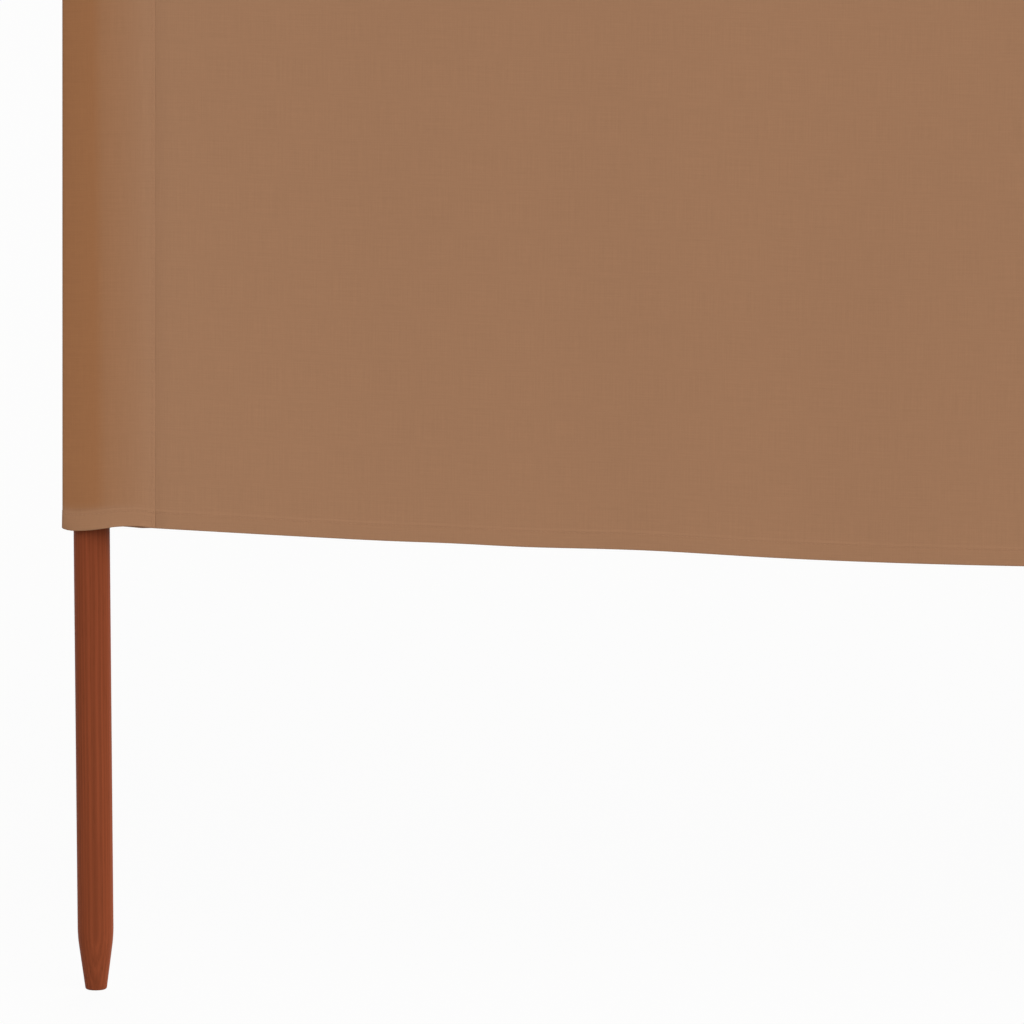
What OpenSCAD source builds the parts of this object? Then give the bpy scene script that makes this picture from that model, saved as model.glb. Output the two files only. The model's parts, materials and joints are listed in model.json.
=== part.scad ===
// Beach windbreak: one long cloth in bays, carried by round wooden poles. The cloth
// passes in front of the poles, and each pole stands in a loop sewn to its back. The
// poles' tapered tips are pushed into the sand.
// +Z is up, +X runs along the windbreak and -Y is its front. The origin is the
// centre of the flat end of the middle pole's tip.

/* [Layout] */
// Number of cloth bays
bays = 6; // [2:2:8]
// Length of a bay, from pole axis to pole axis
bay_len = 1333; // [500:1:1800]
// Angle of each bay to the windbreak's length, to the front and to the back in turn
bay_angle = 10; // [0:1:25]

/* [Poles] */
// Diameter of a pole
pole_d = 28; // [20:0.1:36]
// Length of pole below the cloth, with its tip
spike_len = 360; // [150:1:600]
// Length of pole above the cloth
head_len = 40; // [10:1:120]
// Length of the taper at the tip
tip_len = 42; // [20:1:80]
// Diameter of the tip's flat end
tip_d = 17; // [6:1:18]
// Bevel round the tip's flat end
tip_bevel = 1.5; // [0.2:0.1:2.5]
// Bevel round the top end
head_bevel = 3; // [0.5:0.1:6]

/* [Cloth] */
// Height of the cloth
cloth_h = 1200; // [400:1:1600]
// Thickness of one layer of cloth
cloth_t = 0.8; // [0.4:0.1:1.6]
// Height of the hems along the top and the bottom edge
hem_h = 14; // [8:1:30]
// Thickness of a hem, where the cloth is turned in
hem_t = 1.6; // [1:0.1:3]

/* [Pole loops] */
// Gap between a pole and the hems of its loop
loop_gap = 2; // [2:0.1:5]
// Width of an end loop, from its fold to the far side of its seam
end_loop_w = 75; // [64:1:110]
// How far the round part of an end loop lies outside the pole's axis
end_loop_shift = 2; // [0:0.1:2]
// Width of a middle loop, from seam to seam with both seams
mid_loop_w = 80; // [72:1:120]
// Width of a seam that closes a loop
seam_w = 5; // [3:0.5:8]

/* [Hidden] */
$fn = 96;
poles = bays + 1;
middle_pole = bays / 2 + 1;
pole_len = spike_len + cloth_h + head_len;
// Radius of the outside of a loop's round part. The cloth's front face is as far in
// front of the poles' axes.
loop_r = pole_d / 2 + loop_gap + hem_t;
// Distances from a pole's axis to the far side of its seams
end_reach = end_loop_w - end_loop_shift - loop_r;
mid_reach = mid_loop_w / 2;
// Largest angle between two points on the round part of a loop
arc_step = 7.5;
// How far a cutting shape runs past what it cuts
past = 1;

wood_colour = [0.51, 0.25, 0.16];
cloth_colour = [0.62, 0.46, 0.34];

// Poles in step with the middle one stand in the front row, and the others behind.
// Their places are whole tenths of a millimetre.
function in_step(k) = (k - middle_pole) % 2 == 0;
function to_tenths(v) = round(v * 10) / 10;
function pole_at(k) = [
    to_tenths((k - middle_pole) * bay_len * cos(bay_angle)),
    in_step(k) ? 0 : to_tenths(bay_len * sin(bay_angle))];
// The line from pole k to the next one, which bay k follows
function bay_line(k) = pole_at(k + 1) - pole_at(k);
function bay_heading(k) = atan2(bay_line(k).y, bay_line(k).x);
function is_end(k) = k == 1 || k == poles;
function reach(k) = is_end(k) ? end_reach : mid_reach;
function shift(k) = is_end(k) ? end_loop_shift : 0;
// Distance from a loop's centre to where its two sides meet at a seam
function seam_at(k) = reach(k) + shift(k) - seam_w;

function turned(p, a) = [p.x * cos(a) - p.y * sin(a), p.x * sin(a) + p.y * cos(a)];
function arc(r, from, to) =
    let (steps = ceil((to - from) / arc_step))
    [for (i = [0:steps]) turned([r, 0], from + (to - from) * i / steps)];

// Headings from pole k to the bays on its two sides
function next_heading(k) = bay_heading(k);
function last_heading(k) = bay_heading(k - 1) + 180;
// A loop's flat back runs from a point at the seam, p from the loop's centre, to where
// it touches the round part, at this angle from the heading
function back_angle(r, p) = acos(r / norm(p)) - atan2(p.y, p.x);
// The front of a middle loop, r from its centre, where the bays meet at an angle
function front_turn(k, r) =
    let (from = bay_heading(k - 1) - 90, to = bay_heading(k) - 90)
    to > from ? arc(r, from, to) : [turned([r / cos((to - from) / 2), 0], (from + to) / 2)];
// Outline round a loop whose cloth is t thick. At each seam two layers lie on each other.
function loop_outside(k, t) =
    let (near = seam_at(k), far = near + seam_w, back = loop_r - 2 * t)
    let (a = back_angle(loop_r, [near, back]), next = next_heading(k), last = last_heading(k))
    let (next_seam = [for (p = [[far, -loop_r], [far, -back], [near, -back]]) turned(p, next)])
    let (last_seam = [for (p = [[near, back], [far, back], [far, loop_r]]) turned(p, last)])
    k == 1 ? concat(arc(loop_r, next + a, next + 270), next_seam)
    : k == poles ? concat(arc(loop_r, last + 90, last + 360 - a), last_seam)
    : concat(front_turn(k, loop_r), next_seam, arc(loop_r, next + a, last - a), last_seam);
// Outline of the space inside it
function loop_inside(k, t) =
    let (r = loop_r - t, a = back_angle(loop_r - t, [seam_at(k), loop_r - t]))
    let (next = next_heading(k), last = last_heading(k))
    let (next_seam = [turned([seam_at(k), -r], next)], last_seam = [turned([seam_at(k), r], last)])
    k == 1 ? concat(arc(r, next + a, next + 270), next_seam)
    : k == poles ? concat(arc(r, last + 90, last + 360 - a), last_seam)
    : concat(front_turn(k, r), next_seam, arc(r, next + a, last - a), last_seam);
function loop_centre(k) =
    let (outwards = k == 1 ? next_heading(k) + 180 : k == poles ? last_heading(k) + 180 : 0)
    pole_at(k) + turned([shift(k), 0], outwards);

module pole(k) {
    color(wood_colour)
        translate(pole_at(k))
            rotate_extrude()
                polygon([
                    [0, 0],
                    [tip_d / 2 - tip_bevel, 0],
                    [tip_d / 2, tip_bevel],
                    [pole_d / 2, tip_len],
                    [pole_d / 2, pole_len - head_bevel],
                    [pole_d / 2 - head_bevel, pole_len],
                    [0, pole_len]]);
}

// One height of a loop, with cloth t thick
module loop_band(k, t, bottom, h) {
    translate([0, 0, bottom])
        difference() {
            linear_extrude(h)
                polygon(loop_outside(k, t));
            translate([0, 0, -past])
                linear_extrude(h + 2 * past)
                    polygon(loop_inside(k, t));
        }
}

module pole_pocket(k) {
    color(cloth_colour)
        translate(concat(loop_centre(k), spike_len)) {
            loop_band(k, hem_t, 0, hem_h);
            loop_band(k, cloth_t, hem_h, cloth_h - 2 * hem_h);
            loop_band(k, hem_t, cloth_h - hem_h, hem_h);
        }
}

// A straight band of cloth that spans bay k between two seams, its front face in line
// with the loops' fronts
module bay_band(k, t, bottom, h) {
    color(cloth_colour)
        translate(concat(pole_at(k), spike_len + bottom))
            rotate([0, 0, bay_heading(k)])
                translate([reach(k), -loop_r, 0])
                    cube([norm(bay_line(k)) - reach(k) - reach(k + 1), t, h]);
}

module panel(k) {
    bay_band(k, cloth_t, hem_h, cloth_h - 2 * hem_h);
}

module top_hem(k) {
    bay_band(k, hem_t, cloth_h - hem_h, hem_h);
}

module bottom_hem(k) {
    bay_band(k, hem_t, 0, hem_h);
}

for (k = [1:poles]) pole(k);
for (k = [1:poles]) pole_pocket(k);
for (k = [1:bays]) panel(k);
for (k = [1:bays]) top_hem(k);
for (k = [1:bays]) bottom_hem(k);
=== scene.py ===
"""Looks of a beach windbreak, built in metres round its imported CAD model.

Six bays of plain cloth hang on seven round wooden poles. The cloth passes in front of
the poles, and a loop on its back holds each pole. Both edges of the cloth are hemmed.
"""
import json
import math

import bpy
import numpy as np
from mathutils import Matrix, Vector


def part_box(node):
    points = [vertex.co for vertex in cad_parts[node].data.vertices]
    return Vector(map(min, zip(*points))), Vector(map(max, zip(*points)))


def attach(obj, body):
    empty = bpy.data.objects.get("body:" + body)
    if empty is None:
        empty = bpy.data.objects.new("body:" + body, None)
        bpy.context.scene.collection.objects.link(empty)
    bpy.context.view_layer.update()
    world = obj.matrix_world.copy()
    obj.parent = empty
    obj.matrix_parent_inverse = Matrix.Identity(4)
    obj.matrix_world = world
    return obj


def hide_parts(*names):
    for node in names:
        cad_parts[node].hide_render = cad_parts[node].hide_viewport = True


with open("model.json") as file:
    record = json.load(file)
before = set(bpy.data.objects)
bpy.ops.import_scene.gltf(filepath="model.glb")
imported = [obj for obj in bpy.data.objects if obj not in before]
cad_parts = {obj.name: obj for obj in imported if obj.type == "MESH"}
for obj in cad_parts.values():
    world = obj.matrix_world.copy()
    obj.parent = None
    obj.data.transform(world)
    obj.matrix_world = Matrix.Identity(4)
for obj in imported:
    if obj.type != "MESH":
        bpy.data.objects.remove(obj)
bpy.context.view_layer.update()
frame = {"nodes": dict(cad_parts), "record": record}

MM = 0.001

# ---------------------------------------------------------------- sizes from the frame

mounts = {mount["name"]: mount for mount in frame["record"]["mounts"]}
BAYS = sum(name.startswith("panel_") for name in frame["nodes"])
POLES = BAYS + 1
POLE_R = mounts["ground_pin_1"]["dims"]["r_mm"] * MM
CLOTH_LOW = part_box("bottom_hem_1")[0].z
CLOTH_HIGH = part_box("top_hem_1")[1].z
CLOTH_H = CLOTH_HIGH - CLOTH_LOW
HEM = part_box("bottom_hem_1")[1].z - CLOTH_LOW

# ---------------------------------------------------------------- sizes of the sewing

CLOTH_T = 0.5 * MM
# What a hem adds to the cloth's thickness, on its front and on its back
HEM_FRONT = 0.22 * MM
HEM_BACK = 0.85 * MM
# Radius of the rounding along a folded edge, and of the one beside a seam. Both stop at
# this share of the radius, so that the edge keeps some thickness.
FOLD_R = 0.8 * MM
SEAM_R = 0.4 * MM
ROUND_STOP = 0.97
# Distance from the cloth's edge to the stitches of a hem, which draw its faces in by a
# depth and over a width
HEM_STITCH = 12 * MM
DIMPLE = 0.1 * MM
DIMPLE_WIDTH = 1.1 * MM
# Distance from the far side of a seam to its stitches
SEAM_STITCH = 2.4 * MM
# A loop's cloth ends this far past the seam's far side, in a turned edge: its width, and
# what it adds to the cloth's front
FLAP = 0.8 * MM
FLAP_TURN = 6.5 * MM
FLAP_T = 0.3 * MM
STITCH_PITCH = 3.6 * MM
STITCH_LEN = 2.7 * MM
STITCH_R = 0.24 * MM
# A stitch is three rings of four points: each ring's place along the stitch, its share of
# the radius, and its height over the cloth
STITCH_RINGS = [(-0.5, 0.5, -0.12 * MM), (0.0, 1.0, 0.08 * MM), (0.5, 0.5, -0.12 * MM)]
# Quads that close both ends of a stitch and join its rings
STITCH_QUADS = np.array(
    [[0, 3, 2, 1], [8, 9, 10, 11]]
    + [[4 * ring + i, 4 * ring + (i + 1) % 4, 4 * ring + 4 + (i + 1) % 4, 4 * ring + 4 + i]
       for ring in (0, 1) for i in range(4)])

# ---------------------------------------------------------------- shape of the bays

# The cloth's lower edge stands above the CAD edge at the poles and sags below it between
# them, and its upper edge sags from the CAD edge
EDGE_AT_POLE = 6.0 * MM
EDGE_MID_BAY = -5.2 * MM
TOP_SAG = 7 * MM
# Ripples in the lower edge: their height, and their place and width as shares of a bay.
# They are further along by a step in each next bay.
RIPPLES = [(2.75 * MM, 0.31, 0.07), (0.9 * MM, 0.19, 0.035)]
RIPPLE_STEP = 0.06
# A bay's cloth bows forward by this much in its middle
BELLY = 12 * MM
# Faint upright waves in it: their size, and their length along the bay
WAVES = [(0.9 * MM, 0.61), (0.7 * MM, 0.43), (0.45 * MM, 0.29), (0.25 * MM, 0.17)]
WAVE_SEED = 370
# A wave swings to and fro on its way up: by this phase, and over this height
WAVE_BEND = 0.9
WAVE_HEIGHT = 2.3
# Stretch beside a seam over which the waves grow from nothing
WAVE_FADE = 0.16
# At the lower edge they are larger by this share, which fades over this height
EDGE_WAVE = 0.9
EDGE_WAVE_FADE = 0.18
# The cloth stands this much further forward at the end poles, and comes back over a stretch
END_STAND = 3.9 * MM
STAND_FADE = 600 * MM

# ---------------------------------------------------------------- shape of the loops

# The end loops lean: their outline goes from its low places at the cloth's lower edge to
# its high ones at this height above, and on by a share more over a further stretch
LEAN_HEIGHT = 407 * MM
LEAN_MORE = 0.15
LEAN_FADE = 60 * MM
# How far their seam leans into the bay, at the height where the outline is at its high places
SEAM_LEAN = 3.5 * MM
# Height over which a lifted stretch of a lower hem settles back
LIFT_FADE = 70 * MM
# Height of the crease below which a lifted stretch curls forward, and by how much of its lift
CREASE = 4 * MM
CURL = 0.3
# Height over which a flap comes back to the cloth in front of it, beyond its hem
HEM_STEP = 6 * MM

# Outline of an end loop, in millimetres from the pole's axis: towards the bay and out to
# the front. It starts at the seam in front, goes round the pole and ends in the flap
# behind the seam. Each row has the cloth's place low on the loop and high on it, how far
# the lower edge stands above the CAD edge, how far it is lifted besides, and how far the
# lower hem flares to the front.
END_LOOP = [
    (55.4, 21.5, 58.9, 21.5, 6.0, 0.0, 0.0),
    (52.0, 21.6, 55.5, 21.6, 6.0, 0.2, 0.1),
    (48.0, 21.85, 51.5, 21.85, 6.0, 0.9, 0.3),
    (44.0, 22.0, 47.5, 22.0, 6.0, 1.5, 0.5),
    (38.0, 21.8, 41.5, 21.8, 5.9, 1.6, 0.8),
    (31.0, 21.4, 34.4, 21.4, 5.6, 1.5, 1.1),
    (24.0, 20.8, 27.2, 20.8, 5.2, 1.3, 1.5),
    (21.0, 20.5, 24.0, 20.5, 5.1, 1.0, 1.7),
    (19.0, 20.3, 21.8, 20.3, 5.0, 0.4, 1.8),
    (17.0, 20.0, 19.6, 20.0, 5.1, 0.0, 2.0),
    (14.0, 19.5, 16.4, 19.5, 4.7, 0.0, 2.2),
    (9.0, 18.6, 11.2, 18.6, 3.8, 0.0, 2.6),
    (4.0, 17.5, 6.0, 17.5, 3.1, 0.0, 2.9),
    (-2.0, 16.1, 0.0, 16.1, 2.4, 0.0, 3.0),
    (-8.0, 14.5, -5.4, 14.7, 1.8, 0.0, 3.0),
    (-14.0, 12.6, -10.3, 13.1, 1.7, 0.0, 2.6),
    (-17.6, 11.4, -13.4, 12.0, 2.2, 0.0, 2.0),
    (-20.2, 10.4, -15.9, 10.9, 2.7, 0.0, 1.2),
    (-21.0, 8.9, -16.6, 9.3, 2.9, 0.0, 0.6),
    (-20.3, 7.1, -16.4, 7.6, 2.4, 0.0, 0.2),
    (-18.7, 4.6, -16.2, 4.6, 1.7, 0.0, 0.0),
    (-17.2, 0.5, -16.1, 0.5, 1.5, 0.0, 0.0),
    (-16.4, -4.2, -15.6, -4.2, 1.5, 0.0, 0.0),
    (-14.3, -9.2, -13.6, -8.8, 1.5, 0.0, 0.0),
    (-10.2, -13.4, -9.9, -12.9, 1.5, 0.0, 0.0),
    (-4.6, -16.2, -4.6, -15.6, 1.5, 0.0, 0.0),
    (1.6, -16.6, 1.6, -16.1, 1.5, 0.0, 0.0),
    (7.4, -14.8, 7.3, -14.4, 1.5, 0.0, 0.0),
    (12.2, -10.9, 12.2, -10.6, 1.8, 0.0, 0.0),
    (17.0, -5.9, 17.4, -5.5, 2.6, 0.0, 0.0),
    (22.5, -0.7, 23.4, -0.3, 3.8, 0.0, 0.0),
    (34.7, 10.3, 36.6, 10.8, 4.9, 0.0, 0.0),
    (42.8, 17.3, 45.8, 17.8, 5.3, 0.0, 0.0),
    (46.2, 19.9, 49.6, 20.1, 5.5, 0.0, 0.0),
    (48.6, 20.7, 52.1, 20.8, 5.7, 0.0, 0.0),
    (51.0, 20.9, 54.5, 20.9, 5.8, 0.0, 0.0),
    (56.2, 20.9, 59.7, 20.9, 6.0, 0.0, 0.0),
]
# So many rows of an outline are its flap. Where the cloth is hemmed, the flap stands back
# by what two hems add on their backs.
FLAP_ROWS = 4
# Outline of a middle loop behind its pole, from the end of a flap to the round part, in
# millimetres from the flap's end and from the middle of the bay's cloth
MID_LOOP = [
    (0.0, -0.8),
    (-2.5, -0.8),
    (-4.5, -1.1),
    (-7.5, -3.8),
    (-13.5, -11.0),
    (-20.5, -19.4),
    (-26.0, -26.0),
]
# The round part is a curve about the pole's axis: its radius, the angle from each bay at
# which it starts and ends, and the greatest angle between its points
MID_LOOP_R = 16.9 * MM
MID_LOOP_START = math.radians(50)
MID_LOOP_STEP = math.radians(18)
# Places across the front of a middle loop, as shares of the distance to its seams
MID_FRONT = [1.0, 0.92, 0.7, 0.45, 0.22]
# How far the lower edge stands above the CAD edge behind a middle pole, and how much it
# dips in front of it
MID_BACK_RISE = 5 * MM
MID_FRONT_DIP = 1.2 * MM

# ---------------------------------------------------------------- rows and columns of the sheets

# Heights of the rows beside a hemmed edge, in millimetres for a hem of this height, and the
# number of rows from the last of them to its like at the other edge
EDGE_ROWS = [0, 0.2, 0.5, 0.8, 2, 4, 7, 9.5, 11.2, 12, 12.8, 13.6, 14.3, 15.5, 18, 22, 27, 34,
             43, 54, 67, 83, 102]
EDGE_ROWS_HEM = 14
ROWS_BETWEEN = 38
# Columns of a loop's sheet for each point of its outline
LOOP_SAMPLES = 3
# Number of even columns of a bay's sheet, and the distances of its outermost ones from a
# seam
BAY_COLUMNS = 104
SEAM_COLUMNS = np.array([0, 0.15, 0.4]) * MM

# ---------------------------------------------------------------- shape of the poles

POLE_SIDES = 72
POLE_SEED = 5
# How far a pole's surface is from round and straight, the number of waves that make it so,
# with two lobes and more, and the range of their turn in a metre of height, in radians
POLE_WAVE = 0.1 * MM
POLE_WAVES = 3
POLE_WAVE_TURN = (1.5, 4.0)
# How far the bend at the top of the taper is worn down, and over what height
TAPER_SOFT = 0.25 * MM
TAPER_SOFT_H = 3 * MM
# Points of the outline round a bevel, along the taper and up the shank. More of the shank's
# points are close above the taper.
BEVEL_POINTS = 5
TAPER_POINTS = 12
SHANK_POINTS = 40
SHANK_START = 25 * MM
ABOVE_TAPER = np.array([1.5, 3, 6, 12]) * MM
# Rings on a pole's flat ends, as shares of the ends' radius
END_RINGS = np.array([0.02, 0.5])
# What counts as one height of the CAD pole's points, and as a bend in its outline
SAME_HEIGHT = 0.02 * MM
LEAST_BEND = math.radians(1)

# ---------------------------------------------------------------- colours and patterns

# A mesh is smooth where it turns by less than this
SHARP = math.radians(60)

# Colours in sRGB, 0 to 255
CLOTH_COLOUR = (162, 120, 89)
THREAD_COLOUR = (164, 122, 91)
WOOD_COLOUR = (141, 71, 43)
FLOOR_COLOUR = (188, 186, 183)
WHITE = (255, 255, 255)
# Distance between the cloth's threads
THREAD_PITCH = 0.5 * MM
# Where a pole or a second layer of cloth is close behind the cloth, no light comes through it.
# This is painted shade: the cloth's colour is made deeper and warmer by this tint, by a share for
# each distance from the pole's axis.
BACKED_SHADE_TINT = (0.97, 0.81, 0.61)
BACKED_SHADE = ([20 * MM, 26 * MM, 56 * MM], [1, 0.55, 0])
# Share of that painted shade that a hem loses, and the cloth behind a pole
HEM_CLEAR = 0.8
BACK_CLEAR = 0.6
# Growth rings: their width, how far they wander, and the power that narrows their pale part
RING_PITCH = 2.4 * MM
RING_DRIFT = 9 * MM
RING_POWER = 1.6
# The poles' axis, seen from the pith of the tree
AXIS_FROM_PITH = (0.021, -0.009, 0)
# A pore is where its noise is above this level, and it darkens the wood by this share
PORE_LEVEL = 0.67
PORE_DARK = 0.16
# Each pole's wood is taken from this much further up than the last one's
GRAIN_STEP = 3.0

# ---------------------------------------------------------------- light, floor and camera

# Lights: strength, azimuth, elevation and softness, with angles in degrees, and the
# strength of the even light from all round
KEY_LIGHT = (2.5, 37, 35, 60)
SIDE_LIGHT = (0.5, -50, 20, 60)
BACK_LIGHT = (2.0, 180, 35, 40)
FILL_LIGHT = 0.23
# Distance from the middle of the floor to its sides
FLOOR_REACH = 60
# Share of the floor's look to the camera that is plain white
FLOOR_WHITE = 0.95
# The camera stands at this place, seen from the foot of the first pole. It looks along +Y
# and down by this many degrees, and its lens and sensor are in millimetres.
CAMERA_FROM_POLE = (0.3237, -4.5, 0.9904)
CAMERA_PITCH = 7.794
CAMERA_LENS = 207.4
CAMERA_SENSOR = 36

# ---------------------------------------------------------------- small tools


def pole_axis(k):
    """Where pole k stands, along X and Y."""
    return np.array(mounts[f"foot_{k}"]["pos_m"][:2])


def spread(node, origin, axis):
    """Least and greatest distance of a CAD node's points from origin, along a level axis."""
    points = np.array([v.co[:2] for v in frame["nodes"][node].data.vertices])
    along = (points - origin) @ axis
    return along.min(), along.max()


def ease(x):
    """0 below 0 and 1 above 1, with a smooth step between."""
    x = np.clip(x, 0, 1)
    return x * x * (3 - 2 * x)


def unit(vectors):
    """The vectors at a length of 1."""
    return vectors / np.linalg.norm(vectors, axis=-1, keepdims=True)


def facing(points):
    """Unit normals of a grid of points, from the directions of its two axes."""
    return unit(np.cross(np.gradient(points, axis=0), np.gradient(points, axis=1)))


def values_at(place, length, values):
    """A line's values of three numbers, at places along its length."""
    return np.column_stack([np.interp(place, length, values[:, i]) for i in range(3)])


def spline(control, samples):
    """A uniform cubic B-spline that ends at its end points. Axis -2 counts the points."""
    first, last = control[..., :1, :], control[..., -1:, :]
    padded = np.concatenate([first, first, control, last, last], axis=-2)
    pieces = padded.shape[-2] - 3
    place = np.linspace(0, pieces, samples)
    start = np.minimum(place.astype(int), pieces - 1)
    t = (place - start)[:, None]
    weights = [
        (1 - t) ** 3,
        3 * t**3 - 6 * t**2 + 4,
        -3 * t**3 + 3 * t**2 + 3 * t + 1,
        t**3,
    ]
    return sum(w * padded[..., start + i, :] for i, w in enumerate(weights)) / 6


def grid_quads(rows, columns, start=0):
    """Quads of a grid of rows x columns points, numbered row by row from start."""
    corner = start + np.arange(rows * columns).reshape(rows, columns)
    quads = [corner[:-1, :-1], corner[1:, :-1], corner[1:, 1:], corner[:-1, 1:]]
    return np.stack(quads, -1).reshape(-1, 4)


def add_mesh(name, points, polygons, material, uv=None):
    """Adds a smooth mesh from a list of polygons, with a uv for each of its points."""
    mesh = bpy.data.meshes.new(name)
    mesh.from_pydata(points.tolist(), [], polygons)
    if uv is not None:
        layer = mesh.uv_layers.new(name="cloth")
        corners = np.array(polygons).ravel()
        layer.data.foreach_set("uv", uv[corners].astype(np.float32).ravel())
    mesh.shade_smooth()
    mesh.set_sharp_from_angle(angle=SHARP)
    mesh.materials.append(material)
    obj = bpy.data.objects.new(name, mesh)
    bpy.context.scene.collection.objects.link(obj)
    return obj


# ---------------------------------------------------------------- heights and thickness


def cloth_rows():
    """Heights up the cloth: close together in the hems, and wider apart between them."""
    low = CLOTH_LOW + np.array(EDGE_ROWS) * MM * HEM / (EDGE_ROWS_HEM * MM)
    high = CLOTH_LOW + CLOTH_HIGH - low[::-1]
    between = np.linspace(low[-1], high[0], ROWS_BETWEEN)[1:-1]
    return np.concatenate([low, between, high])


def from_edge(height):
    """Distance of a height from the cloth's nearer edge."""
    return np.minimum(height - CLOTH_LOW, CLOTH_HIGH - height)


def hem_share(height):
    """1 in a hem and 0 away from it, with a short step between."""
    return ease((HEM + HEM_STEP - from_edge(height)) / HEM_STEP)


def rounding(share):
    """Share of a cloth's thickness near a round edge, at a share of its radius away."""
    return np.sqrt(1 - np.clip(1 - share, 0, ROUND_STOP) ** 2)


def face_depths(height):
    """How far the cloth's front and back faces are from its middle, at each height."""
    edge = from_edge(height)
    hemmed = edge < HEM
    dimple = DIMPLE * np.exp(-(((edge - HEM_STITCH) / DIMPLE_WIDTH) ** 2))
    front = CLOTH_T / 2 + HEM_FRONT * hemmed - dimple
    back = CLOTH_T / 2 + HEM_BACK * hemmed - dimple
    fold = rounding(edge / FOLD_R)
    return front * fold, back * fold


HEIGHTS = cloth_rows()
FRONT_T, BACK_T = face_depths(HEIGHTS)
# The rows that the hems' stitches follow
HEM_ROWS = [int(np.argmin(np.abs(HEIGHTS - z)))
            for z in (CLOTH_LOW + HEM_STITCH, CLOTH_HIGH - HEM_STITCH)]

# ---------------------------------------------------------------- sheets


class Sheet:
    """A closed sheet of cloth round a grid of middle points [along, up]."""

    def __init__(self, middle, seams=(), turned=()):
        """seams are the ends, 0 or -1, that meet other cloth, and turned the turned ones."""
        self.normal = facing(middle)
        steps = np.linalg.norm(np.diff(middle, axis=0), axis=2)
        self.along = np.concatenate([0 * steps[:1], np.cumsum(steps, axis=0)])
        self.length = self.along[-1].mean()
        front = np.broadcast_to(FRONT_T, self.along.shape)
        for end in seams:
            front = front * rounding(self.distance(end) / SEAM_R)
        for end in turned:
            front = front + FLAP_T * (self.distance(end) < FLAP_TURN)
        self.outer = middle + self.normal * front[..., None]
        self.inner = middle - self.normal * BACK_T[:, None]

    def distance(self, end):
        """Distance of every point from an end of the sheet, 0 or -1."""
        return np.abs(self.along - self.along[end])

    def row(self, index, outside=True):
        """Points and normals along one height of a face."""
        if outside:
            return self.outer[:, index], self.normal[:, index]
        return self.inner[:, index], -self.normal[:, index]

    def column(self, end, distance):
        """Points and normals up the outer face, at a distance from an end."""
        order = slice(None) if end == 0 else slice(None, None, -1)
        place = self.distance(end)[order]
        points, normals = [
            np.concatenate([
                values_at(distance, place[:, h], grid[order, h]) for h in range(len(HEIGHTS))])
            for grid in (self.outer, self.normal)]
        return points, unit(normals)

    def near_pole(self, k):
        """How much painted shade each point has from its place at pole k, where the pole or a
        second layer is close behind.
        """
        place = self.outer[..., :2] - pole_axis(k)
        behind = ease(place[..., 1] / POLE_R)
        share = np.interp(np.linalg.norm(place, axis=2), *BACKED_SHADE) * (1 - BACK_CLEAR * behind)
        return share * (1 - HEM_CLEAR * hem_share(HEIGHTS))

    def add(self, name, material, backed_shade=0):
        """Adds the sheet's mesh. Its last argument is how much painted shade it has, in all or by
        point.
        """
        across, up = self.along.shape
        count = across * up
        corner = np.arange(count).reshape(across, up)
        edge = np.concatenate([
            corner[:-1, 0], corner[-1, :-1], corner[:0:-1, -1], corner[0, :0:-1]])
        after = np.roll(edge, -1)
        rim = np.stack([edge, edge + count, after + count, after], -1)
        quads = np.concatenate([
            grid_quads(across, up), grid_quads(across, up, count)[:, ::-1], rim])
        points = np.concatenate([self.outer.reshape(-1, 3), self.inner.reshape(-1, 3)])
        height = np.broadcast_to(HEIGHTS, self.along.shape)
        uv = np.stack([self.along, height], -1).reshape(-1, 2)
        sheet = add_mesh(name, points, quads.tolist(), material, np.concatenate([uv, uv]))
        backed_shade = np.broadcast_to(backed_shade, self.along.shape).ravel()
        layer = sheet.data.attributes.new("backed_shade", "FLOAT", "POINT")
        layer.data.foreach_set("value", np.concatenate([backed_shade, backed_shade]).astype(np.float32))
        return sheet


# ---------------------------------------------------------------- bays


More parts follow.
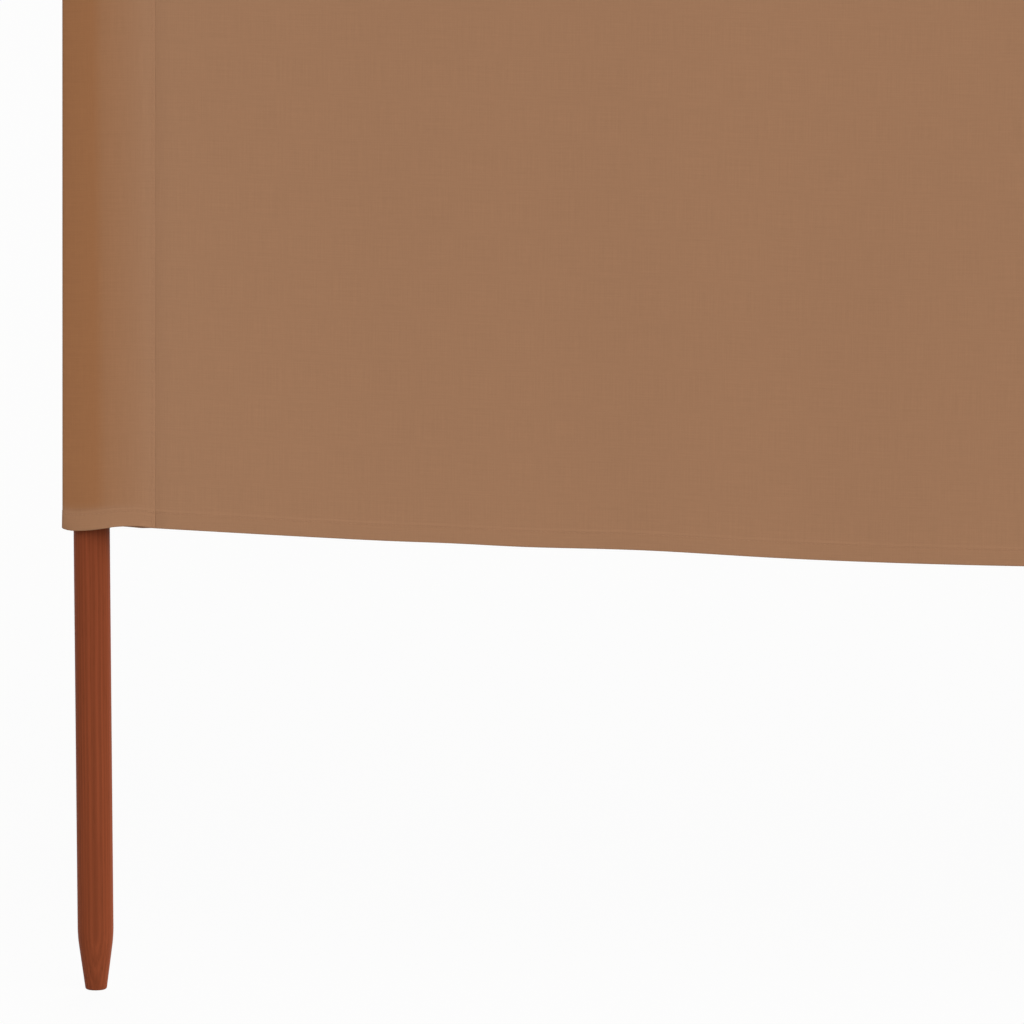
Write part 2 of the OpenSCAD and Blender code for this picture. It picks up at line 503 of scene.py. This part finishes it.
class Bay:
    """A bay's own directions, and where the middle of its cloth is.

    Places in it are u along the line between its poles, from pole k, and z up.
    """

    def __init__(self, k):
        self.k = k
        self.start = pole_axis(k)
        line = pole_axis(k + 1) - self.start
        self.length = np.linalg.norm(line)
        self.along = line / self.length
        self.out = np.array([self.along[1], -self.along[0]])
        self.near, self.far = spread(f"panel_{k}", self.start, self.along)
        self.face = spread(f"panel_{k}", self.start, self.out)[1]
        draw = np.random.default_rng(WAVE_SEED + k)
        self.phases = draw.uniform(0, 2 * math.pi, (len(WAVES), 2))

    def share(self, u):
        """How far along the cloth between the bay's seams a place is."""
        return (u - self.near) / (self.far - self.near)

    def waves(self, u, z):
        """How far forward the upright waves move the cloth."""
        free = ease((u - self.near) / WAVE_FADE) * ease((self.far - u) / WAVE_FADE)
        growth = 1 + EDGE_WAVE * np.exp(-(z - CLOTH_LOW) / EDGE_WAVE_FADE)
        wave = 0
        for (size, length), (across, up) in zip(WAVES, self.phases):
            bend = WAVE_BEND * np.sin(2 * math.pi * z / WAVE_HEIGHT + up)
            wave = wave + size * np.sin(2 * math.pi * u / length + across + bend)
        return free * growth * wave

    def depth(self, u, z):
        """How far the middle of the cloth is in front of the line between the poles."""
        stand = 0
        if self.k == 1:
            stand = stand + 1 - ease((u - self.near) / STAND_FADE)
        if self.k == BAYS:
            stand = stand + 1 - ease((self.far - u) / STAND_FADE)
        belly = BELLY * np.sin(math.pi * np.clip(self.share(u), 0, 1))
        return self.face - CLOTH_T / 2 + belly + END_STAND * stand + self.waves(u, z)

    def rise(self, u, z):
        """How far the cloth's sag moves a point up or down."""
        share = np.clip(self.share(u), 0, 1)
        hang = np.sin(math.pi * share)
        start = RIPPLE_STEP * (self.k - 1)
        ripple = sum(size * np.exp(-(((share - start - place) / width) ** 2))
                     for size, place, width in RIPPLES)
        low = EDGE_AT_POLE + (EDGE_MID_BAY - EDGE_AT_POLE) * hang + ripple
        high = -TOP_SAG * hang
        up = (z - CLOTH_LOW) / CLOTH_H
        return low * (1 - up) + high * up

    def points(self, u, z):
        """Points of the cloth's middle."""
        plan = self.start + u[..., None] * self.along
        plan = plan + self.depth(u, z)[..., None] * self.out
        return np.concatenate([plan, (z + self.rise(u, z))[..., None]], -1)

    def seam(self, k):
        """Seen from pole k: the direction into the bay, and the distance to its seam."""
        if self.k == k:
            return self.along, self.near
        return -self.along, self.length - self.far

    def seam_depth(self, k):
        """How far the cloth's middle is in front of the poles' line at pole k's seam."""
        u = self.near if self.k == k else self.far
        return float(self.depth(np.array(u), np.array(CLOTH_LOW)))


bays = {k: Bay(k) for k in range(1, BAYS + 1)}

# ---------------------------------------------------------------- loops


def lean(z):
    """How much an end loop leans: 0 at its low places, 1 at its high ones, then a bit more."""
    share = (z - CLOTH_LOW) / LEAN_HEIGHT
    past = np.maximum(z - CLOTH_LOW - LEAN_HEIGHT, 0)
    return np.minimum(share, 1) + LEAN_MORE * (1 - np.exp(-past / LEAN_FADE))


def seam_lean(k, z):
    """How far pole k's seams lean into their bays at each height."""
    return SEAM_LEAN * lean(z) if k in (1, POLES) else 0 * z


def edge_height(height, rise, lift):
    """Heights of a loop's points, whose lower edge stands up by rise and by lift."""
    above = height - CLOTH_LOW
    return height + rise * (1 - above / CLOTH_H) + lift * np.exp(-above / LIFT_FADE)


def lift_rows(outline, out=np.zeros(2)):
    """Points [along, up] from outlines, one per height: plan, rise, lift and flare.

    The lower hem flares towards out, and a lifted stretch curls that way below a crease.
    """
    path = spline(outline, LOOP_SAMPLES * outline.shape[1])
    rise, lift, flare = path[..., 2], path[..., 3], path[..., 4]
    above = HEIGHTS[:, None] - CLOTH_LOW
    flared = flare * np.maximum(1 - above / HEM, 0)
    curled = CURL * lift * np.maximum(1 - above / CREASE, 0)
    plan = path[..., :2] + (flared + curled)[..., None] * out
    z = edge_height(HEIGHTS[:, None], rise, lift)
    return np.concatenate([plan, z[..., None]], -1).transpose(1, 0, 2)


def end_loop_points(k):
    """Middle of the cloth of an end loop, from left to right as seen from outside it."""
    bay = bays[1] if k == 1 else bays[BAYS]
    inwards, reach = bay.seam(k)
    table = np.array(END_LOOP) * MM
    share = lean(HEIGHTS)[:, None, None]
    place = table[:, 0:2] + share * (table[:, 2:4] - table[:, 0:2])
    place = place + np.array([reach, bay.seam_depth(k)]) - table[0, 0:2]
    place[:, -FLAP_ROWS:, 1] -= 2 * HEM_BACK * hem_share(HEIGHTS)[:, None]
    plan = pole_axis(k) + place[..., :1] * inwards + place[..., 1:] * bay.out
    edge = np.broadcast_to(table[:, 4:], plan.shape[:2] + (3,))
    points = lift_rows(np.concatenate([plan, edge], -1), bay.out)
    return points[::-1] if k == 1 else points


def level_angle(vector):
    """Angle of a level vector from +X."""
    return math.atan2(vector[1], vector[0])


def mid_back_points(k):
    """Middle of the cloth behind a middle pole, from its right flap to its left one."""
    axis = pole_axis(k)
    halves = []
    for bay in (bays[k], bays[k - 1]):
        inwards, reach = bay.seam(k)
        place = np.array(MID_LOOP) * MM + np.array([reach + FLAP, bay.seam_depth(k)])
        place = np.repeat(place[None], len(HEIGHTS), axis=0)
        place[:, :FLAP_ROWS, 1] -= 2 * HEM_BACK * hem_share(HEIGHTS)[:, None]
        halves.append(axis + place[..., :1] * inwards + place[..., 1:] * bay.out)
    first = level_angle(bays[k].along) + MID_LOOP_START
    last = level_angle(-bays[k - 1].along) % (2 * math.pi) - MID_LOOP_START
    angles = np.linspace(first, last, math.ceil((last - first) / MID_LOOP_STEP) + 1)
    round_part = axis + MID_LOOP_R * np.stack([np.cos(angles), np.sin(angles)], -1)
    round_part = np.repeat(round_part[None], len(HEIGHTS), axis=0)
    plan = np.concatenate([halves[0], round_part, halves[1][:, ::-1]], axis=1)
    edge = np.zeros(plan.shape[:2] + (3,)) + np.array([MID_BACK_RISE, 0, 0])
    return lift_rows(np.concatenate([plan, edge], -1))


def mid_front_points(k):
    """Middle of the cloth in front of a middle pole, from its left seam to its right one."""
    axis = pole_axis(k)
    sides = []
    for bay in (bays[k - 1], bays[k]):
        inwards, reach = bay.seam(k)
        u = np.array(MID_FRONT)[:, None] * reach
        sides.append(axis + u * inwards + bay.seam_depth(k) * bay.out)
    front = unit(bays[k - 1].out + bays[k].out)
    middle = axis + bays[k].seam_depth(k) * front
    plan = np.concatenate([sides[0], middle[None], sides[1][::-1]])
    rise = EDGE_AT_POLE - MID_FRONT_DIP * (1 - np.linalg.norm(plan - axis, axis=1) / bays[k].near)
    outline = np.column_stack([plan, rise, 0 * rise, 0 * rise])
    return lift_rows(np.repeat(outline[None], len(HEIGHTS), axis=0))


# ---------------------------------------------------------------- materials


def linear(red, green, blue):
    """A colour given as 0 to 255 in sRGB, as the linear numbers that a socket takes."""
    parts = [part / 255 for part in (red, green, blue)]
    return [c / 12.92 if c <= 0.04045 else ((c + 0.055) / 1.055) ** 2.4 for c in parts] + [1]


class Shader:
    """The nodes of a material or a world, with short ways to add and join them."""

    def __init__(self, owner):
        owner.use_nodes = True
        self.owner = owner
        self.tree = owner.node_tree

    def join(self, value, socket):
        """Gives a socket a value, or the output of another node."""
        if isinstance(value, bpy.types.NodeSocket):
            self.tree.links.new(value, socket)
        else:
            socket.default_value = value

    def set(self, name, inputs):
        """Fills the inputs of a node that is already there. Returns its first output."""
        node = self.tree.nodes[name]
        for key, value in inputs.items():
            self.join(value, node.inputs[key])
        return node.outputs[0] if node.outputs else None

    def add(self, kind, inputs=(), out=0, **settings):
        """Adds a node. inputs maps a socket's name or number to a value or a socket."""
        node = self.tree.nodes.new("ShaderNode" + kind)
        for name, value in settings.items():
            setattr(node, name, value)
        for key, value in dict(inputs).items():
            self.join(value, node.inputs[key])
        return node.outputs[out]

    def math(self, operation, *values):
        """The result of an operation on some numbers."""
        return self.add("Math", dict(enumerate(values)), operation=operation)

    def axis(self, vector, number):
        """One part of a vector: 0, 1 or 2 for X, Y or Z."""
        return self.add("SeparateXYZ", {0: vector}, out=number)

    def scaled(self, vector, scale):
        """A vector with each of its parts times that of another."""
        return self.add("VectorMath", {0: vector, 1: scale}, operation="MULTIPLY")

    def noise(self, place, cells, detail=2.0, roughness=0.5):
        """Noise with so many cells in a metre along each axis."""
        values = {"Vector": self.scaled(place, cells), "Scale": 1.0}
        return self.add("TexNoise", values | {"Detail": detail, "Roughness": roughness})

    def wave(self, place, length):
        """A sine along a place, from -1 to 1, that repeats after a length."""
        return self.math("SINE", self.math("MULTIPLY", place, 2 * math.pi / length))

    def swing(self, value, size):
        """A value that is about 0.5 on the mean, as a factor about 1 that varies by size."""
        return self.math("MULTIPLY_ADD", value, 2 * size, 1 - size)

    def tinted(self, colour, *factors):
        """A colour times some factors."""
        factor = factors[0]
        for other in factors[1:]:
            factor = self.math("MULTIPLY", factor, other)
        return self.add("VectorMath", {0: colour[:3], "Scale": factor}, operation="SCALE")

    def bump(self, height, distance, strength):
        """The normals of a surface that rises by a height times a distance."""
        values = {"Height": height, "Distance": distance, "Strength": strength}
        return self.add("Bump", values)


def cloth_material(name):
    """Plain woven polyester canvas, its threads along and up the cloth.

    A mesh attribute says where something is close behind the cloth, and there its colour takes
    painted shade, deeper and warmer.
    """
    shader = Shader(bpy.data.materials.new(name))
    place = shader.add("UVMap", uv_map="cloth")
    warp = shader.wave(shader.axis(place, 0), 2 * THREAD_PITCH)
    weft = shader.wave(shader.axis(place, 1), 2 * THREAD_PITCH)
    weave = shader.math("MULTIPLY_ADD", shader.math("MULTIPLY", warp, weft), 0.5, 0.5)
    slub_along = shader.noise(place, (30, 1400, 1))
    slub_up = shader.noise(place, (1400, 30, 1))
    patch = shader.noise(place, (2.2, 3.1, 1), detail=3.0)
    fleck = shader.noise(place, (260, 260, 1))
    colour = shader.tinted(
        linear(*CLOTH_COLOUR),
        shader.swing(slub_along, 0.075),
        shader.swing(slub_up, 0.075),
        shader.swing(patch, 0.03),
        shader.swing(fleck, 0.03),
        shader.swing(weave, 0.04),
    )
    # Painted shade: the colour is darkened and warmed by the tint where something is close behind
    # the cloth
    backed_shade = shader.add("Attribute", out="Fac", attribute_name="backed_shade")
    shade_tint = [part - 1 for part in BACKED_SHADE_TINT]
    shade_tint = shader.add("VectorMath", {0: backed_shade, 1: shade_tint, 2: (1, 1, 1)}, operation="MULTIPLY_ADD")
    slubs = shader.math("ADD", slub_along, slub_up)
    relief = shader.math("MULTIPLY_ADD", slubs, 0.5, weave)
    shader.set("Principled BSDF", {
        "Base Color": shader.scaled(colour, shade_tint),
        "Roughness": 0.92,
        "Specular IOR Level": 0.25,
        "Sheen Weight": 0.06,
        "Sheen Roughness": 0.5,
        "Normal": shader.bump(relief, 0.05 * MM, 0.6),
    })
    return shader.owner


def thread_material(name):
    """Matt sewing thread, with the fine unevenness of its twist."""
    shader = Shader(bpy.data.materials.new(name))
    twist = shader.noise(shader.add("TexCoord", out="Object"), (900, 900, 900))
    shader.set("Principled BSDF", {
        "Base Color": shader.tinted(linear(*THREAD_COLOUR), shader.swing(twist, 0.12)),
        "Roughness": 0.8,
        "Specular IOR Level": 0.3,
        "Normal": shader.bump(twist, 0.03 * MM, 0.5),
    })
    return shader.owner


def wood_material(name):
    """Stained round pine: growth rings about an off-centre pith, fibre along Z."""
    shader = Shader(bpy.data.materials.new(name))
    place = shader.add("Attribute", out="Vector", attribute_name="wood_pos")
    drift = shader.noise(place, (14, 14, 2.2), detail=3.0)
    from_pith = shader.add("VectorMath", {0: place, 1: AXIS_FROM_PITH}, operation="ADD")
    from_pith = shader.scaled(from_pith, (1, 1, 0))
    radius = shader.add("VectorMath", {0: from_pith}, out="Value", operation="LENGTH")
    ring = shader.wave(shader.math("MULTIPLY_ADD", drift, RING_DRIFT, radius), RING_PITCH)
    ring = shader.math("MULTIPLY_ADD", ring, 0.5, 0.5)
    ring = shader.math("POWER", ring, RING_POWER)
    fibre = shader.noise(place, (1100, 1100, 9), detail=3.0, roughness=0.6)
    streak = shader.noise(place, (420, 420, 3))
    pores = shader.noise(place, (1900, 1900, 42), detail=1.0)
    pore = shader.math("MULTIPLY", shader.math("GREATER_THAN", pores, PORE_LEVEL), -PORE_DARK)
    cloud = shader.noise(place, (22, 22, 2))
    colour = shader.tinted(
        linear(*WOOD_COLOUR),
        shader.swing(fibre, 0.19),
        shader.swing(streak, 0.19),
        shader.swing(ring, 0.07),
        shader.swing(cloud, 0.10),
        shader.math("ADD", pore, 1.0),
    )
    relief = shader.math("MULTIPLY_ADD", shader.math("ADD", pore, fibre), 0.6, ring)
    shader.set("Principled BSDF", {
        "Base Color": colour,
        "Roughness": shader.math("MULTIPLY_ADD", fibre, 0.16, 0.42),
        "Specular IOR Level": 0.04,
        "Diffuse Roughness": 1.0,
        "Normal": shader.bump(relief, 0.04 * MM, 0.28),
    })
    return shader.owner


cloth = cloth_material("cloth")
thread = thread_material("thread")
wood = wood_material("pole_wood")

# ---------------------------------------------------------------- pieces of cloth


def stitch_points(path, normals):
    """Points of the stitches along a line on the cloth, from its points and normals."""
    steps = np.linalg.norm(np.diff(path, axis=0), axis=1)
    length = np.concatenate([[0], np.cumsum(steps)])
    count = int(length[-1] / STITCH_PITCH)
    place = (np.arange(count) + 0.5) * length[-1] / count
    middle = values_at(place, length, path)
    ahead = values_at(place + STITCH_LEN / 2, length, path)
    behind = values_at(place - STITCH_LEN / 2, length, path)
    along = unit(ahead - behind)
    across = unit(np.cross(values_at(place, length, normals), along))
    out = np.cross(along, across)
    points = []
    for shift, size, height in STITCH_RINGS:
        for turn in range(4):
            angle = turn * math.pi / 2
            away = size * STITCH_R * (math.cos(angle) * across + math.sin(angle) * out)
            points.append(middle + shift * STITCH_LEN * along + height * out + away)
    return np.stack(points, 1)


def add_stitches(name, lines):
    """A piece made of short stitches along lines, each its points and normals."""
    points = np.concatenate([stitch_points(path, normals) for path, normals in lines])
    start = points.shape[1] * np.arange(len(points))[:, None, None]
    quads = (start + STITCH_QUADS).reshape(-1, 4)
    return add_mesh(name, points.reshape(-1, 3), quads.tolist(), thread)


def finish_piece(obj, nodes=()):
    """Gives a piece its body, and hides the CAD nodes that it stands for."""
    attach(obj, "root")
    if nodes:
        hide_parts(*nodes)


def make_panel(k):
    """The cloth of bay k between its seams, with the stitches of its hems."""
    bay = bays[k]
    start = bay.near + seam_lean(k, HEIGHTS)
    end = bay.far - seam_lean(k + 1, HEIGHTS)
    whole = bay.far - bay.near
    inside = np.linspace(0, 1, BAY_COLUMNS)[1:-1] * whole
    places = np.concatenate([SEAM_COLUMNS, inside, whole - SEAM_COLUMNS[::-1]])
    u = start + places[:, None] / whole * (end - start)
    sheet = Sheet(bay.points(u, np.broadcast_to(HEIGHTS, u.shape)), seams=(0, -1))
    panel = sheet.add(f"cloth_panel_{k}", cloth)
    finish_piece(panel, [f"panel_{k}", f"top_hem_{k}", f"bottom_hem_{k}"])
    lines = [sheet.row(row, outside) for row in HEM_ROWS for outside in (True, False)]
    stitches = add_stitches(f"hem_stitches_{k}", lines)
    finish_piece(stitches)


def make_end_loop(k):
    """The loop round an end pole, one sheet from its seam to its flap, with its stitches."""
    seam, flap = (-1, 0) if k == 1 else (0, -1)
    sheet = Sheet(end_loop_points(k), seams=(seam,), turned=(flap,))
    sleeve = sheet.add(f"pole_sleeve_{k}", cloth, sheet.near_pole(k))
    finish_piece(sleeve, [f"pole_pocket_{k}"])
    lines = [sheet.row(row) for row in HEM_ROWS]
    lines += [sheet.column(seam, SEAM_STITCH), sheet.column(flap, FLAP + SEAM_STITCH)]
    stitches = add_stitches(f"seam_stitches_{k}", lines)
    finish_piece(stitches)


def make_mid_loop(k):
    """The sheets behind and in front of a middle pole, with their stitches."""
    back = Sheet(mid_back_points(k), turned=(0, -1))
    front = Sheet(mid_front_points(k), seams=(0, -1))
    sleeve = back.add(f"pole_sleeve_{k}", cloth, back.near_pole(k))
    finish_piece(sleeve, [f"pole_pocket_{k}"])
    face = front.add(f"cloth_front_{k}", cloth, front.near_pole(k))
    finish_piece(face)
    lines = [sheet.row(row) for sheet in (back, front) for row in HEM_ROWS]
    lines += [front.column(end, SEAM_STITCH) for end in (0, -1)]
    lines += [back.column(end, FLAP + SEAM_STITCH) for end in (0, -1)]
    stitches = add_stitches(f"seam_stitches_{k}", lines)
    finish_piece(stitches)


# ---------------------------------------------------------------- poles


def pole_rings():
    """Radius and height of each bend in a CAD pole's outline, from its tip up."""
    points = np.array([v.co for v in frame["nodes"]["pole_1"].data.vertices])
    radius = np.linalg.norm(points[:, :2] - pole_axis(1), axis=1)
    heights = np.unique(points[:, 2].round(5))
    rings = np.array([(radius[np.abs(points[:, 2] - z) < SAME_HEIGHT].max(), z) for z in heights])
    steps = np.diff(rings, axis=0)
    slopes = np.arctan2(steps[:, 0], steps[:, 1])
    bends = np.abs(np.diff(slopes)) > LEAST_BEND
    return rings[np.concatenate([[True], bends, [True]])]


def pole_profile():
    """Radius and height up a pole, from the middle of its tip's end to that of its head."""
    (end_r, _), (tip_r, tip_z), (full_r, full_z), (_, head_z), (top_r, top_z) = pole_rings()
    turn = np.linspace(0, math.pi / 2, BEVEL_POINTS)
    taper = np.linspace(0, 1, TAPER_POINTS)[1:]
    shank = np.concatenate([
        full_z + ABOVE_TAPER, np.linspace(full_z + SHANK_START, head_z, SHANK_POINTS)])
    radius = np.concatenate([
        end_r + (tip_r - end_r) * np.sin(turn), tip_r + (full_r - tip_r) * taper,
        0 * shank + full_r, full_r - (full_r - top_r) * (1 - np.cos(turn[1:]))])
    height = np.concatenate([
        tip_z * (1 - np.cos(turn)), tip_z + (full_z - tip_z) * taper, shank,
        head_z + (top_z - head_z) * np.sin(turn[1:])])
    radius = radius - TAPER_SOFT * np.exp(-(((height - full_z) / TAPER_SOFT_H) ** 2))
    radius = np.concatenate([END_RINGS * end_r, radius, END_RINGS[::-1] * top_r])
    return radius, np.concatenate([0 * END_RINGS, height, 0 * END_RINGS + top_z])


def pole_points(draw):
    """Points about a pole's own axis, ring by ring from its tip up.

    The middle of its tip's end and that of its head come last.
    """
    radius, height = pole_profile()
    turn = np.arange(POLE_SIDES) * 2 * math.pi / POLE_SIDES
    phases = draw.uniform(0, 2 * math.pi, POLE_WAVES)
    turns = draw.uniform(*POLE_WAVE_TURN, POLE_WAVES)
    shape = sum(np.cos((i + 2) * turn[None] + phases[i] + turns[i] * height[:, None])
                for i in range(POLE_WAVES)) / POLE_WAVES
    away = radius[:, None] * (1 + POLE_WAVE * shape / POLE_R)
    plan = np.stack([away * np.cos(turn), away * np.sin(turn)], -1)
    z = np.broadcast_to(height[:, None, None], plan.shape[:2] + (1,))
    rings = np.concatenate([plan, z], -1).reshape(-1, 3)
    return np.concatenate([rings, [[0, 0, height[0]], [0, 0, height[-1]]]])


def pole_polygons(count):
    """Quads between the rings of a pole with so many points, and fans over its ends."""
    foot, head = count - 2, count - 1
    corner = np.arange(foot).reshape(-1, POLE_SIDES)
    beside = np.roll(corner, -1, axis=1)
    sides = np.stack([corner[:-1], beside[:-1], beside[1:], corner[1:]], -1).reshape(-1, 4)
    fans = [[foot, b, a] for a, b in zip(corner[0], beside[0])]
    fans += [[head, a, b] for a, b in zip(corner[-1], beside[-1])]
    return sides.tolist() + fans


def make_pole(k):
    """Pole k, with its points' places in the wood that it is cut from."""
    draw = np.random.default_rng(POLE_SEED + k)
    local = pole_points(draw)
    points = local + np.append(pole_axis(k), 0)
    pole = add_mesh(f"wood_pole_{k}", points, pole_polygons(len(local)), wood)
    turn = draw.uniform(0, 2 * math.pi)
    cos, sin = math.cos(turn), math.sin(turn)
    plan = local[:, :2] @ np.array([[cos, sin], [-sin, cos]])
    place = np.column_stack([plan, local[:, 2] + GRAIN_STEP * k])
    layer = pole.data.attributes.new("wood_pos", "FLOAT_VECTOR", "POINT")
    layer.data.foreach_set("vector", place.astype(np.float32).ravel())
    finish_piece(pole, [f"pole_{k}"])


for k in range(1, POLES + 1):
    make_pole(k)
    if k in (1, POLES):
        make_end_loop(k)
    else:
        make_mid_loop(k)
for k in range(1, BAYS + 1):
    make_panel(k)

# ---------------------------------------------------------------- the studio


def seen_rays(shader):
    """1 for the rays that show the background: camera, glossy and transmission rays."""
    rays = [shader.add("LightPath", out=f"Is {kind} Ray")
            for kind in ("Camera", "Glossy", "Transmission")]
    return shader.math("MAXIMUM", shader.math("MAXIMUM", rays[0], rays[1]), rays[2])


def add_floor():
    """A plain pale floor, near white to the camera, that keeps the object's shadow."""
    shader = Shader(bpy.data.materials.new("floor"))
    surface = shader.set("Principled BSDF", {
        "Base Color": linear(*FLOOR_COLOUR),
        "Roughness": 1.0,
        "Specular IOR Level": 0.0,
    })
    white = shader.add("Emission", {"Color": linear(*WHITE), "Strength": 1.0})
    seen = shader.math("MULTIPLY", seen_rays(shader), FLOOR_WHITE)
    mixed = shader.add("MixShader", {0: seen, 1: surface, 2: white})
    shader.set("Material Output", {"Surface": mixed})
    corners = np.array([[-1, -1, 0], [1, -1, 0], [1, 1, 0], [-1, 1, 0]]) * FLOOR_REACH
    floor = add_mesh("floor", corners, [[0, 1, 2, 3]], shader.owner)


def add_world():
    """White where it is seen, and a soft even light for the rest."""
    world = bpy.data.worlds.new("studio")
    bpy.context.scene.world = world
    shader = Shader(world)
    fill = shader.set("Background", {"Color": linear(*WHITE), "Strength": FILL_LIGHT})
    white = shader.add("Background", {"Color": linear(*WHITE), "Strength": 1.0})
    mixed = shader.add("MixShader", {0: seen_rays(shader), 1: fill, 2: white})
    shader.set("World Output", {"Surface": mixed})


def add_sun(name, strength, azimuth, elevation, softness):
    """A soft distant light. Azimuth 0 shines along +Y, and 90 comes from +X."""
    light = bpy.data.lights.new(name, "SUN")
    light.energy = strength
    light.angle = math.radians(softness)
    sun = bpy.data.objects.new(name, light)
    sun.rotation_euler = (math.radians(90 - elevation), 0, math.radians(azimuth))
    bpy.context.scene.collection.objects.link(sun)


def add_camera():
    """The camera that the render looks through."""
    scene = bpy.context.scene
    data = bpy.data.cameras.new("camera")
    data.lens = CAMERA_LENS
    data.sensor_width = CAMERA_SENSOR
    camera = bpy.data.objects.new("camera", data)
    camera.location = Vector((*pole_axis(1), 0)) + Vector(CAMERA_FROM_POLE)
    camera.rotation_euler = (math.radians(90 - CAMERA_PITCH), 0, 0)
    scene.collection.objects.link(camera)
    scene.camera = camera


add_floor()
add_world()
add_sun("key", *KEY_LIGHT)
add_sun("side", *SIDE_LIGHT)
add_sun("back", *BACK_LIGHT)
add_camera()
bpy.context.scene.view_settings.view_transform = "Standard"
